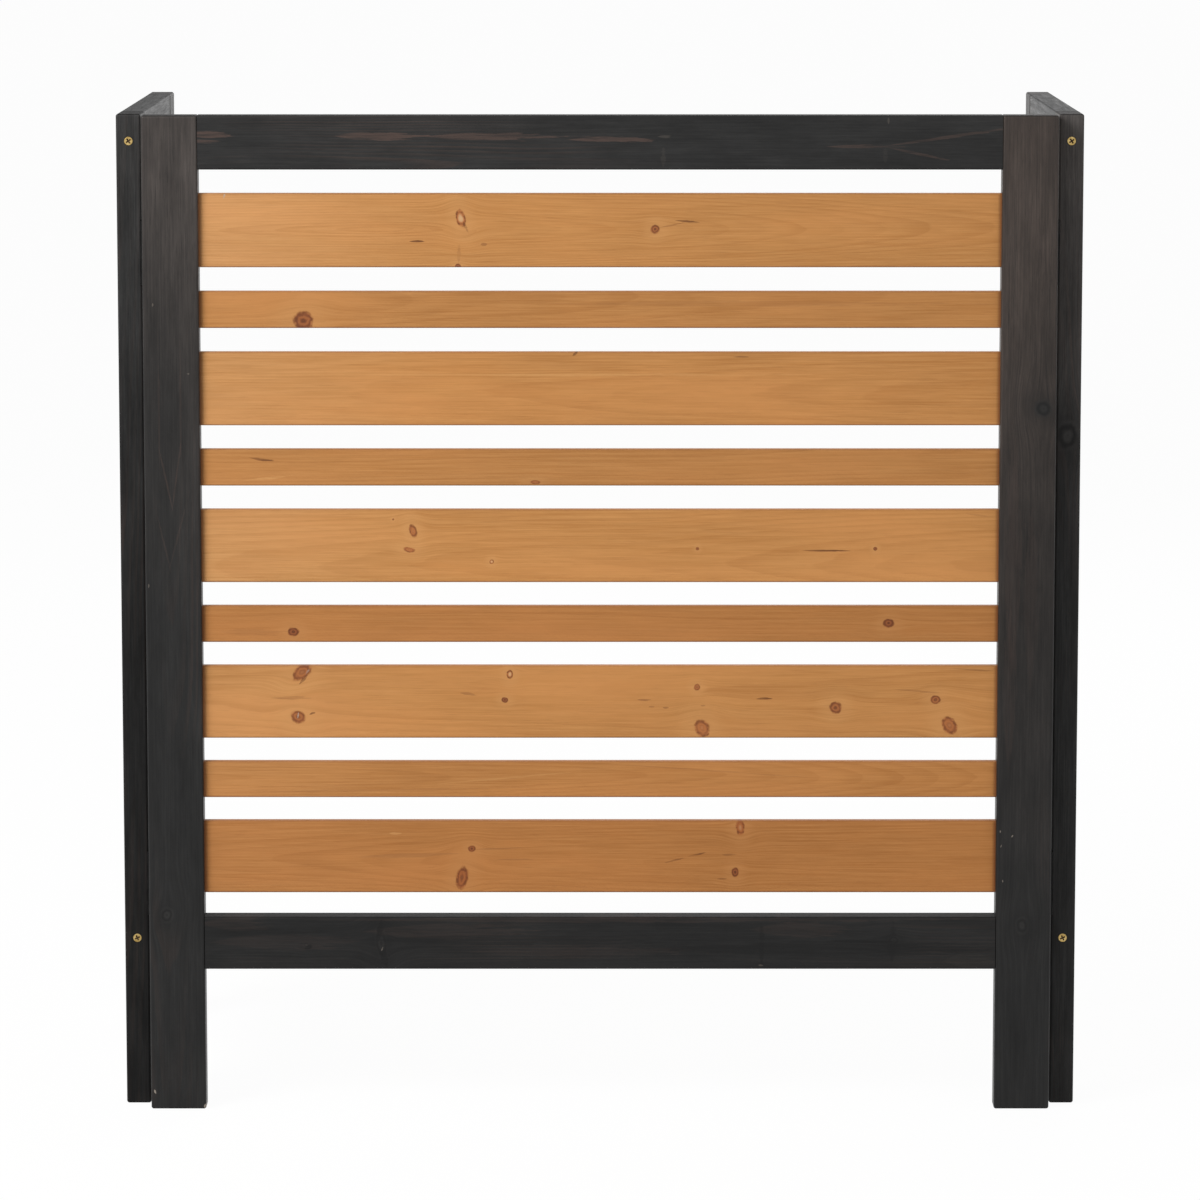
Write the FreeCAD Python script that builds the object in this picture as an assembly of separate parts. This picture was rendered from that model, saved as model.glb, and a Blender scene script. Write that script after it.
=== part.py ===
import FreeCAD, Part
import math
import os

# A folding three-panel screen of stained wood that stands in a U round an outdoor
# air-conditioning unit: a wide front panel and two wings hinged to its rear corners.
# Lengths are in millimetres. +Z is up and the front faces -Y. The origin is on the floor, at the
# centre of the space that the screen takes up with its wings square to the front.

# Panels. Each wing is as wide as lets both lie flat behind the front panel, side by side.
front_clear_width = 802.0       # between the front panel's posts
fold_gap = 8.0                  # between the wings' free edges when both are folded
leg_length = 145.0              # clear height under the bottom rails
slat_gap = 23.9                 # air gap above and below every slat

# Posts and stiles, all cut alike. They run to the floor and are the feet.
stile_width = 56.0
stile_thickness = 25.0
stile_easing = 2.5              # radius worked along every edge

# Rails, tenoned into the posts and stiles.
rail_height = 54.0
rail_thickness = 24.0           # a shaving under the stiles, so the faces all but meet
rail_easing = 2.0
tenon_length = 25.0
tenon_height = 36.0
tenon_thickness = 10.0

# Slats, wide and narrow in turn from the top, housed whole in the posts and stiles.
slat_count = 9
wide_slat_height = 74.0
narrow_slat_height = 37.0
slat_thickness = 10.0
slat_easing = 1.5
slat_housing_depth = 12.0

joint_clearance = 0.15          # round tenons, slat ends and hinge leaves in their recesses

# Long countersunk screws, from the outer edge of a post or stile into the end of a rail.
frame_screw_length = 90.0
frame_screw_radius = 2.5
frame_screw_head_radius = 4.5
frame_screw_point = 6.0
frame_screw_sink = 0.4          # head below the surface of the wood

# Short countersunk screws in the hinge leaves.
hinge_screw_length = 16.0
hinge_screw_radius = 1.75
hinge_screw_head_radius = 3.3
hinge_screw_point = 4.0
hinge_screw_sink = 0.1          # head below the surface of the leaf

# Both kinds of screw: the head's rim, and the cross recess as shares of the head's radius.
head_rim = 0.3
screw_clearance = 0.05
recess_span_share = 1.1
recess_width_share = 0.26
recess_depth_share = 0.4

# Butt hinges, with the leaves let in flush and the barrel in the corner between two panels.
hinge_height = 64.0
leaf_width = 26.0               # from the pin's axis to the leaf's far edge
leaf_thickness = 1.6
leaf_corner = 3.0
leaf_screw_height_shares = (0.17, 0.5, 0.83)
leaf_screw_width_shares = (0.7, 0.5, 0.7)
knuckle_count = 5               # the post's leaf has the first and last
knuckle_radius = 3.2
knuckle_gap = 0.3
knuckle_clearance = 0.4         # from the barrel to the wood and to the facing leaf
pin_radius = 1.6
pin_clearance = 0.05
pin_head_radius = 2.4
pin_head_height = 0.8
edge_gap = 1.0                  # between two panels' edges when they are opened out flat
upper_hinge_drop = 85.0         # hinge's middle below the top rail
lower_hinge_rise = 30.0         # hinge's middle above the bottom rail

overrun = 2.0                   # how far a cutting shape passes the face it opens
alignment_share = 0.999         # how nearly an edge follows the axis it is picked by

# Heights of the rows, from the floor up.
slat_heights = [wide_slat_height if n % 2 == 0 else narrow_slat_height for n in range(slat_count)]
bottom_rail_z = leg_length
field_z = bottom_rail_z + rail_height
top_rail_z = field_z + sum(slat_heights) + slat_gap * (slat_count + 1)
panel_height = top_rail_z + rail_height
rail_levels = {"top": top_rail_z, "bottom": bottom_rail_z}
tenon_shoulder = (rail_height - tenon_height) / 2

# Plan sizes. A panel is drawn with x along its width from its hinged edge, and y from its outer
# face (0) to its inner face, so posts, wing stiles and hinge leaves share one set of places.
front_width = front_clear_width + 2 * stile_width
wing_width = (front_width - fold_gap) / 2
mid_thickness = stile_thickness / 2
pin_standoff = knuckle_radius - leaf_thickness
pin_x = -edge_gap / 2
pin_y = stile_thickness + pin_standoff
hinge_setback = pin_y + edge_gap / 2
overall_depth = hinge_setback + wing_width
front_y = -overall_depth / 2
wing_x = front_width / 2 + edge_gap / 2 + pin_y

hinge_levels = {
    "upper": top_rail_z - upper_hinge_drop - hinge_height / 2,
    "lower": field_z + lower_hinge_rise - hinge_height / 2,
}
knuckle_pitch = (hinge_height + knuckle_gap) / knuckle_count
post_knuckles = range(0, knuckle_count, 2)
wing_knuckles = range(1, knuckle_count, 2)

origin = FreeCAD.Vector(0, 0, 0)
along_x = FreeCAD.Vector(1, 0, 0)
along_y = FreeCAD.Vector(0, 1, 0)
along_z = FreeCAD.Vector(0, 0, 1)


def block(x, y, z, length, depth, height):
    return Part.makeBox(length, depth, height, FreeCAD.Vector(x, y, z))


def edges_along(shape, direction):
    """The shape's straight edges that run in this direction."""
    return [e for e in shape.Edges if abs(e.tangentAt(e.FirstParameter).dot(direction)) > alignment_share]


def turned(profile):
    """A solid turned about Z from (radius, height) points that start and end on the axis."""
    points = [FreeCAD.Vector(radius, 0, height) for radius, height in profile]
    outline = Part.makePolygon(points + points[:1])
    return Part.Face(outline).revolve(origin, along_z, 360)


# Where a panel stands in the screen

def in_front(shape):
    return shape.translated(FreeCAD.Vector(-front_width / 2, front_y, 0))


def in_right_wing(shape):
    return shape.rotated(origin, along_z, 90).translated(FreeCAD.Vector(wing_x, front_y + hinge_setback, 0))


def other_side(shape):
    """The like piece on the other side of the screen."""
    return shape.mirror(origin, along_x)


def far_edge(shape, width):
    """The like piece or cut at the far edge of a panel of this width."""
    return shape.mirror(FreeCAD.Vector(width / 2, 0, 0), along_x)


# Screws, drawn with the head's face at height 0 and the point down

def screw(length, radius, head_radius, point):
    neck = head_rim + head_radius - radius
    body = turned([
        (0, 0),
        (head_radius, 0),
        (head_radius, -head_rim),
        (radius, -neck),
        (radius, point - length),
        (0, -length),
    ])
    span = recess_span_share * head_radius
    width = recess_width_share * head_radius
    depth = recess_depth_share * head_radius
    slot = block(-span / 2, -width / 2, -depth, span, width, depth + overrun)
    return body.cut([slot, slot.rotated(origin, along_z, 90)])


def screw_bore(length, radius, head_radius, sink):
    """Drilled and countersunk hole for a screw."""
    neck = head_rim + head_radius - radius
    return turned([
        (0, sink + overrun),
        (head_radius + screw_clearance, sink + overrun),
        (head_radius + screw_clearance, -head_rim),
        (radius + screw_clearance, -neck),
        (radius + screw_clearance, -length - screw_clearance),
        (0, -length - screw_clearance),
    ])


frame_screw = screw(frame_screw_length, frame_screw_radius, frame_screw_head_radius, frame_screw_point)
frame_bore = screw_bore(frame_screw_length, frame_screw_radius, frame_screw_head_radius, frame_screw_sink)
hinge_screw = screw(hinge_screw_length, hinge_screw_radius, hinge_screw_head_radius, hinge_screw_point)
hinge_bore = screw_bore(hinge_screw_length, hinge_screw_radius, hinge_screw_head_radius, hinge_screw_sink)


def at_rail_ends(shape, width, levels):
    """A frame screw or its bore at both ends of the rails at these levels."""
    placed = []
    for level in levels:
        head = FreeCAD.Vector(frame_screw_sink, mid_thickness, level + rail_height / 2)
        near = shape.rotated(origin, along_y, -90).translated(head)
        placed += [near, far_edge(near, width)]
    return placed


def in_leaf(shape, level):
    """A hinge screw or its bore at each hole of a hinge leaf."""
    placed = []
    for width_share, height_share in zip(leaf_screw_width_shares, leaf_screw_height_shares):
        head = FreeCAD.Vector(
            pin_x + width_share * leaf_width,
            stile_thickness - hinge_screw_sink,
            level + height_share * hinge_height)
        placed.append(shape.rotated(origin, along_x, -90).translated(head))
    return placed


# Boards of a panel

def slat_rows():
    """Bottom level and height of each slat, from the top one down."""
    rows = []
    level = top_rail_z
    for height in slat_heights:
        level -= slat_gap + height
        rows.append((level, height))
    return rows


def rail(width, level):
    length = width - 2 * stile_width
    body = block(
        stile_width, mid_thickness - rail_thickness / 2, level, length, rail_thickness, rail_height)
    body = body.makeFillet(rail_easing, edges_along(body, along_x))
    tenons = block(
        stile_width - tenon_length,
        mid_thickness - tenon_thickness / 2,
        level + tenon_shoulder,
        length + 2 * tenon_length,
        tenon_thickness,
        tenon_height)
    blank = body.fuse(tenons).removeSplitter()
    return blank.cut(at_rail_ends(frame_bore, width, [level]))


def slat(width, level, height):
    board = block(
        stile_width - slat_housing_depth,
        mid_thickness - slat_thickness / 2,
        level,
        width - 2 * (stile_width - slat_housing_depth),
        slat_thickness,
        height)
    return board.makeFillet(slat_easing, edges_along(board, along_x))


def mortise(depth, thickness, level, height):
    """Pocket in a stile's inner edge, for the end of a rail or a slat."""
    return block(
        stile_width - depth - joint_clearance,
        mid_thickness - thickness / 2 - joint_clearance,
        level - joint_clearance,
        depth + joint_clearance + overrun,
        thickness + 2 * joint_clearance,
        height + 2 * joint_clearance)


def hinge_recess(level):
    """Room in a stile's inner face and hinged edge for a leaf, the barrel and the screws."""
    seat = block(
        -overrun,
        stile_thickness - leaf_thickness,
        level - joint_clearance,
        overrun + pin_x + leaf_width + joint_clearance,
        leaf_thickness + overrun,
        hinge_height + 2 * joint_clearance)
    far_x = pin_x + leaf_width + joint_clearance
    corners = [e for e in edges_along(seat, along_y) if abs(e.CenterOfMass.x - far_x) < joint_clearance]
    seat = seat.makeFillet(leaf_corner, corners)
    barrel_end = pin_head_height + knuckle_clearance
    cove = Part.makeCylinder(
        knuckle_radius + knuckle_clearance,
        hinge_height + 2 * barrel_end,
        FreeCAD.Vector(pin_x, pin_y, level - barrel_end))
    return [seat, cove] + in_leaf(hinge_bore, level)


def stile(width, hinged):
    """Post or stile at a panel's first edge."""
    board = block(0, 0, 0, stile_width, stile_thickness, panel_height)
    board = board.makeFillet(stile_easing, board.Edges)
    cuts = at_rail_ends(frame_bore, width, rail_levels.values())
    for level in rail_levels.values():
        cuts.append(mortise(tenon_length, tenon_thickness, level + tenon_shoulder, tenon_height))
    for level, height in slat_rows():
        cuts.append(mortise(slat_housing_depth, slat_thickness, level, height))
    if hinged:
        for level in hinge_levels.values():
            cuts += hinge_recess(level)
    return board.cut(cuts)


# Hinges, drawn in place on a panel's hinged edge

def knuckle(index, level):
    """One rolled knuckle with the strip of leaf that runs into it."""
    inner = stile_thickness - leaf_thickness
    strip_x = pin_x + knuckle_radius + knuckle_clearance
    roll_x = pin_x + math.sqrt(knuckle_radius ** 2 - pin_standoff ** 2)
    under_pin = FreeCAD.Vector(pin_x, inner, 0)
    strip_inner = FreeCAD.Vector(strip_x, inner, 0)
    strip_outer = FreeCAD.Vector(strip_x, stile_thickness, 0)
    roll_start = FreeCAD.Vector(roll_x, stile_thickness, 0)
    roll_side = FreeCAD.Vector(pin_x - knuckle_radius, pin_y, 0)
    outline = Part.Wire([
        Part.LineSegment(under_pin, strip_inner).toShape(),
        Part.LineSegment(strip_inner, strip_outer).toShape(),
        Part.LineSegment(strip_outer, roll_start).toShape(),
        Part.Arc(roll_start, roll_side, under_pin).toShape(),
    ])
    roll = Part.Face(outline).extrude(along_z * (knuckle_pitch - knuckle_gap))
    return roll.translated(along_z * (level + index * knuckle_pitch))


def leaf(level, knuckles):
    strip_x = pin_x + knuckle_radius + knuckle_clearance
    far_x = pin_x + leaf_width
    plate = block(
        strip_x, stile_thickness - leaf_thickness, level, far_x - strip_x, leaf_thickness, hinge_height)
    corners = [e for e in edges_along(plate, along_y) if abs(e.CenterOfMass.x - far_x) < joint_clearance]
    plate = plate.makeFillet(leaf_corner, corners)
    blank = plate.multiFuse([knuckle(index, level) for index in knuckles]).removeSplitter()
    pin_bore = Part.makeCylinder(
        pin_radius + pin_clearance,
        hinge_height + 2 * overrun,
        FreeCAD.Vector(pin_x, pin_y, level - overrun))
    return blank.cut([pin_bore] + in_leaf(hinge_bore, level))


def pin(level):
    """Headed pin, captive in the barrel."""
    head_foot = hinge_height + pin_clearance
    body = turned([
        (0, -pin_clearance - pin_head_height),
        (pin_radius, -pin_clearance - pin_head_height),
        (pin_head_radius, -pin_clearance - pin_head_height / 2),
        (pin_head_radius, -pin_clearance),
        (pin_radius, -pin_clearance),
        (pin_radius, head_foot),
        (pin_head_radius, head_foot),
        (pin_head_radius, head_foot + pin_head_height / 2),
        (pin_radius, head_foot + pin_head_height),
        (0, head_foot + pin_head_height),
    ])
    return body.translated(FreeCAD.Vector(pin_x, pin_y, level))


# The front panel
nodes = {}
left_post = in_front(stile(front_width, True))
nodes["front_left_post"] = left_post
nodes["front_right_post"] = other_side(left_post)
for place, level in rail_levels.items():
    nodes["front_" + place + "_rail"] = in_front(rail(front_width, level))
for number, (level, height) in enumerate(slat_rows(), 1):
    nodes["front_slat_" + str(number)] = in_front(slat(front_width, level, height))
front_screws = at_rail_ends(frame_screw, front_width, rail_levels.values())
nodes["front_frame_screws"] = in_front(Part.makeCompound(front_screws))

# The wings, drawn for the right and mirrored for the left
wing = {}
wing["front_stile"] = stile(wing_width, True)
wing["rear_stile"] = far_edge(stile(wing_width, False), wing_width)
for place, level in rail_levels.items():
    wing[place + "_rail"] = rail(wing_width, level)
for number, (level, height) in enumerate(slat_rows(), 1):
    wing["slat_" + str(number)] = slat(wing_width, level, height)
wing["frame_screws"] = Part.makeCompound(at_rail_ends(frame_screw, wing_width, rail_levels.values()))
leaf_screws = []
for level in hinge_levels.values():
    leaf_screws += in_leaf(hinge_screw, level)
wing["hinge_screws"] = Part.makeCompound(leaf_screws)
for name, shape in wing.items():
    nodes["right_wing_" + name] = in_right_wing(shape)
    nodes["left_wing_" + name] = other_side(in_right_wing(shape))

# The hinges, two at each corner
left_leaf_screws = in_front(Part.makeCompound(leaf_screws))
nodes["front_hinge_screws"] = Part.makeCompound(
    left_leaf_screws.Solids + other_side(left_leaf_screws).Solids)
for place, level in hinge_levels.items():
    post_leaf = in_front(leaf(level, post_knuckles))
    hinge_pin = in_front(pin(level))
    wing_leaf = in_right_wing(leaf(level, wing_knuckles))
    hinge = place + "_hinge_"
    nodes["left_" + hinge + "post_leaf"] = post_leaf
    nodes["right_" + hinge + "post_leaf"] = other_side(post_leaf)
    nodes["left_" + hinge + "pin"] = hinge_pin
    nodes["right_" + hinge + "pin"] = other_side(hinge_pin)
    nodes["right_" + hinge + "wing_leaf"] = wing_leaf
    nodes["left_" + hinge + "wing_leaf"] = other_side(wing_leaf)

os.makedirs("parts", exist_ok=True)
for name, shape in nodes.items():
    shape.exportStep(os.path.join("parts", name + ".step"))
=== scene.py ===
import bpy
import bmesh
import math
import random
from mathutils import Matrix, Vector


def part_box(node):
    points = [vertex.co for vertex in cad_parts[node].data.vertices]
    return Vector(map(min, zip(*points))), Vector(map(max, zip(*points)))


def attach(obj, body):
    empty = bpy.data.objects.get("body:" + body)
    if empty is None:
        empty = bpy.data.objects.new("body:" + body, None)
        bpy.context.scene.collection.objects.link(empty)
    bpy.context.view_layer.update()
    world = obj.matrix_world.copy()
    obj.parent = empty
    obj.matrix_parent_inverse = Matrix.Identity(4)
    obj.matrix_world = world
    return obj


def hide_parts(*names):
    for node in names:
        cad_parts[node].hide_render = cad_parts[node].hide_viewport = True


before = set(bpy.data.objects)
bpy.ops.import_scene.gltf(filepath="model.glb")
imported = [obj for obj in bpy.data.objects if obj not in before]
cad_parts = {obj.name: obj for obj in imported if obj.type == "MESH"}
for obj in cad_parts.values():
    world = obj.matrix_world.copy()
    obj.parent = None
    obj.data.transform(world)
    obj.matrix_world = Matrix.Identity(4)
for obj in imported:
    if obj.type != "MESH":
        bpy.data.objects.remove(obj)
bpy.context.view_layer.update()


# Posts and stiles: two posts of the front panel and two stiles of each wing, planed softwood with eased
# edges. They are brushed with a charcoal stain that lets the grain show; the posts grow lighter and browner
# upwards.

def add_node(tree, kind, inputs=None, **settings):
    """A shader node with its settings made and its sockets filled or linked."""
    made = tree.nodes.new(kind)
    for name, value in settings.items():
        setattr(made, name, value)
    for name, value in (inputs or {}).items():
        if isinstance(value, bpy.types.NodeSocket):
            tree.links.new(value, made.inputs[name])
        else:
            made.inputs[name].default_value = value
    return made


def maths(tree, operation, first, second=0.0, third=0.0):
    """One arithmetic step, as a socket."""
    return add_node(tree, "ShaderNodeMath", {0: first, 1: second, 2: third}, operation=operation).outputs[0]


def times(tree, first, second):
    """The first times the second, as a socket."""
    return maths(tree, "MULTIPLY", first, second)


def times_plus(tree, first, second, third):
    """The first times the second, plus the third, as a socket."""
    return maths(tree, "MULTIPLY_ADD", first, second, third)


def minus(tree, first, second):
    """The first less the second, as a socket."""
    return maths(tree, "SUBTRACT", first, second)


def about_zero(tree, share):
    """A share from 0 to 1 moved to lie between -0.5 and 0.5, as a socket."""
    return minus(tree, share, 0.5)


def squares(tree, first, second):
    """The sum of two squares, as a socket."""
    return times_plus(tree, first, first, times(tree, second, second))


def fade(tree, value, start, end):
    """0 at start and 1 at end, smoothly, as a socket."""
    ramp = {"Value": value, "From Min": start, "From Max": end}
    return add_node(tree, "ShaderNodeMapRange", ramp, interpolation_type="SMOOTHSTEP").outputs["Result"]


def blend(tree, amount, first, second):
    """From the first colour to the second by the amount, as a socket."""
    mixed = add_node(tree, "ShaderNodeMix", {"Factor": amount, 6: first, 7: second}, data_type="RGBA")
    return mixed.outputs[2]


def tinted(tree, amount, colour, tint):
    """A colour multiplied by a tint, by the amount, as a socket."""
    sockets = {"Factor": amount, 6: colour, 7: tint}
    product = add_node(tree, "ShaderNodeMix", sockets, data_type="RGBA", blend_type="MULTIPLY")
    return product.outputs[2]


def shaded(tree, colour, level):
    """A colour made lighter or darker by a level, as a socket."""
    grey = add_node(tree, "ShaderNodeCombineColor", {0: level, 1: level, 2: level}).outputs[0]
    return tinted(tree, 1.0, colour, grey)


def figure(tree, place, seed, stretch, detail=2.0, rough=0.5):
    """Noise drawn out along the board, in features per metre along, across and through it."""
    scaled = add_node(tree, "ShaderNodeVectorMath", {0: place, 1: stretch}, operation="MULTIPLY").outputs[0]
    sockets = {"Vector": scaled, "W": seed, "Scale": 1.0, "Detail": detail, "Roughness": rough}
    return add_node(tree, "ShaderNodeTexNoise", sockets, noise_dimensions="4D").outputs["Fac"]


def new_group(name, inputs, outputs):
    """An empty node group, the sockets that it is given and the sockets of its result."""
    tree = bpy.data.node_groups.new(name, "ShaderNodeTree")
    for way, sockets in (("INPUT", inputs), ("OUTPUT", outputs)):
        for label in sockets:
            kind = {"Board": "Vector", "Color": "Color"}.get(label, "Float")
            tree.interface.new_socket(name=label, in_out=way, socket_type="NodeSocket" + kind)
    return tree, tree.nodes.new("NodeGroupInput").outputs, tree.nodes.new("NodeGroupOutput").inputs


def use_group(tree, group, **words):
    """The results of a node group in use. A word fills a socket: half_length is for Half length."""
    inputs = {word.replace("_", " ").capitalize(): value for word, value in words.items()}
    return add_node(tree, "ShaderNodeGroup", inputs, node_tree=group).outputs


def turned_offsets(tree, given):
    """The place on the board, its rise over a feature, and its offsets along and across the turned feature.

    The offsets are in the feature's half length and half width.
    """
    place = add_node(tree, "ShaderNodeSeparateXYZ", {0: given["Board"]}).outputs
    right = minus(tree, place["X"], given["Along"])
    rise = minus(tree, place["Y"], given["Across"])
    cosine, sine = maths(tree, "COSINE", given["Turn"]), maths(tree, "SINE", given["Turn"])
    along = times_plus(tree, right, cosine, times(tree, rise, sine))
    across = minus(tree, times(tree, rise, cosine), times(tree, right, sine))
    along = maths(tree, "DIVIDE", along, given["Half length"])
    across = maths(tree, "DIVIDE", across, given["Half width"])
    return place, rise, along, across


def knot_group():
    """A knot that the grain flows round.

    Nearness is 1 on the knot's rim and less inside it. Core goes from 0 for a dark knot to 1 for a pale one.
    """
    wobbles_per_metre, wobble_share = (150, 150, 0), 0.4
    flow_length_share, flow_width_share, bend_share = 0.25, 0.36, 0.7
    tree, given, result = new_group(
        "grain round a knot",
        ["Board", "Nearness", "Core", "Along", "Across", "Half length", "Half width", "Turn", "Own core"],
        ["Board", "Nearness", "Core"])
    place, rise, along, across = turned_offsets(tree, given)
    wobble = about_zero(tree, figure(tree, given["Board"], given["Along"], wobbles_per_metre, detail=1.0))
    reach = times_plus(tree, wobble, wobble_share, maths(tree, "SQRT", squares(tree, along, across)))
    spread = squares(tree, times(tree, along, flow_length_share), times(tree, across, flow_width_share))
    pull = maths(tree, "EXPONENT", times(tree, spread, -1.0))
    flowed = times_plus(tree, rise, times_plus(tree, pull, -bend_share, 1.0), given["Across"])
    moved = add_node(tree, "ShaderNodeCombineXYZ", {"X": place["X"], "Y": flowed, "Z": place["Z"]})
    nearer = maths(tree, "LESS_THAN", reach, given["Nearness"])
    change = minus(tree, given["Own core"], given["Core"])
    tree.links.new(moved.outputs[0], result["Board"])
    tree.links.new(maths(tree, "MINIMUM", given["Nearness"], reach), result["Nearness"])
    tree.links.new(times_plus(tree, nearer, change, given["Core"]), result["Core"])
    return tree


def mark_group():
    """A pointed, ragged streak in the wood. Amount is 1 inside it."""
    tears_per_metre, tear_length_share, tear_width_share = (28, 420, 0), 1.5, 2.4
    outline = 1.1, 0.75
    fibres_per_metre, fibre_range, faint_share = (18, 330, 0), (0.36, 0.58), 0.35
    tree, given, result = new_group(
        "streak in the wood", ["Board", "Along", "Across", "Half length", "Half width", "Turn"], ["Amount"])
    board = given["Board"]
    _, _, along, across = turned_offsets(tree, given)
    torn = about_zero(tree, figure(tree, board, given["Along"], tears_per_metre, detail=3.0, rough=0.7))
    along = times_plus(tree, torn, tear_length_share, along)
    across = times_plus(tree, torn, tear_width_share, maths(tree, "ABSOLUTE", across))
    reach = times_plus(tree, along, along, across)
    fibres = figure(tree, board, given["Across"], fibres_per_metre, detail=3.0, rough=0.7)
    strength = times_plus(tree, fade(tree, fibres, *fibre_range), 1 - faint_share, faint_share)
    tree.links.new(times(tree, fade(tree, reach, *outline), strength), result["Amount"])
    return tree


def grain_group():
    """Growth rings, fibres, flecks and clouds of a board sawn from a log, with the heart beside the board."""
    sways_per_metre, sway_width = (2.0, 6, 6), 0.018
    lifts_per_metre, lift_depth, lift_seed = (1.5, 5, 5), 0.022, 5.0
    waves_per_metre, wave_share = (8, 90, 90), 0.8
    summer, winter, weakest_share = (0.3, 0.88), (1.0, 0.93), 0.25
    fibres_per_metre = 12, 620, 620
    flecks_per_metre, fleck_range = (55, 1700, 1700), (0.56, 0.76)
    clouds_per_metre, cloud_seed = (3, 14, 14), 9.0
    blotches_per_metre, blotch_seed = (15, 65, 65), 17.0
    tree, given, result = new_group(
        "sawn softwood",
        ["Board", "Seed", "Heart across", "Heart through", "Slant", "Tilt", "Ring width"],
        ["Late wood", "Fibre", "Fleck", "Cloud", "Blotch"])
    board, seed = given["Board"], given["Seed"]
    place = add_node(tree, "ShaderNodeSeparateXYZ", {0: board}).outputs
    sway = about_zero(tree, figure(tree, board, seed, sways_per_metre))
    lift = about_zero(tree, figure(tree, board, maths(tree, "ADD", seed, lift_seed), lifts_per_metre))
    across = times_plus(tree, sway, sway_width, minus(tree, place["Y"], given["Heart across"]))
    across = minus(tree, across, times(tree, place["X"], given["Slant"]))
    through = times_plus(tree, lift, lift_depth, minus(tree, place["Z"], given["Heart through"]))
    through = minus(tree, through, times(tree, place["X"], given["Tilt"]))
    radius = maths(tree, "SQRT", squares(tree, across, through))
    wave = about_zero(tree, figure(tree, board, seed, waves_per_metre))
    rings = times_plus(tree, wave, wave_share, maths(tree, "DIVIDE", radius, given["Ring width"]))
    year = maths(tree, "FRACT", rings)
    late = times(tree, fade(tree, year, *summer), fade(tree, year, *winter))
    ring_number = maths(tree, "ADD", maths(tree, "FLOOR", rings), seed)
    vigour = add_node(tree, "ShaderNodeTexWhiteNoise", {"W": ring_number}, noise_dimensions="1D").outputs[0]
    late = times(tree, late, times_plus(tree, vigour, 1 - weakest_share, weakest_share))
    fleck = fade(tree, figure(tree, board, seed, flecks_per_metre, detail=1.0), *fleck_range)
    cloud_at, blotch_at = maths(tree, "ADD", seed, cloud_seed), maths(tree, "ADD", seed, blotch_seed)
    tree.links.new(late, result["Late wood"])
    tree.links.new(figure(tree, board, seed, fibres_per_metre, detail=4.0, rough=0.7), result["Fibre"])
    tree.links.new(fleck, result["Fleck"])
    cloud = figure(tree, board, cloud_at, clouds_per_metre, detail=3.0, rough=0.55)
    blotch = figure(tree, board, blotch_at, blotches_per_metre, detail=4.0, rough=0.65)
    tree.links.new(cloud, result["Cloud"])
    tree.links.new(blotch, result["Blotch"])
    return tree


def wood_relief(tree, given):
    """The height of bare grain: late wood and fibres stand up and flecks are open pores, as a socket."""
    late_rise, pore_depth = 0.5, 0.5
    relief = times_plus(tree, given["Late wood"], late_rise, given["Fibre"])
    return times_plus(tree, given["Fleck"], -pore_depth, relief)


grain_sockets = ["Late wood", "Fibre", "Fleck", "Cloud", "Blotch", "Nearness", "Core", "Board"]


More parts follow.
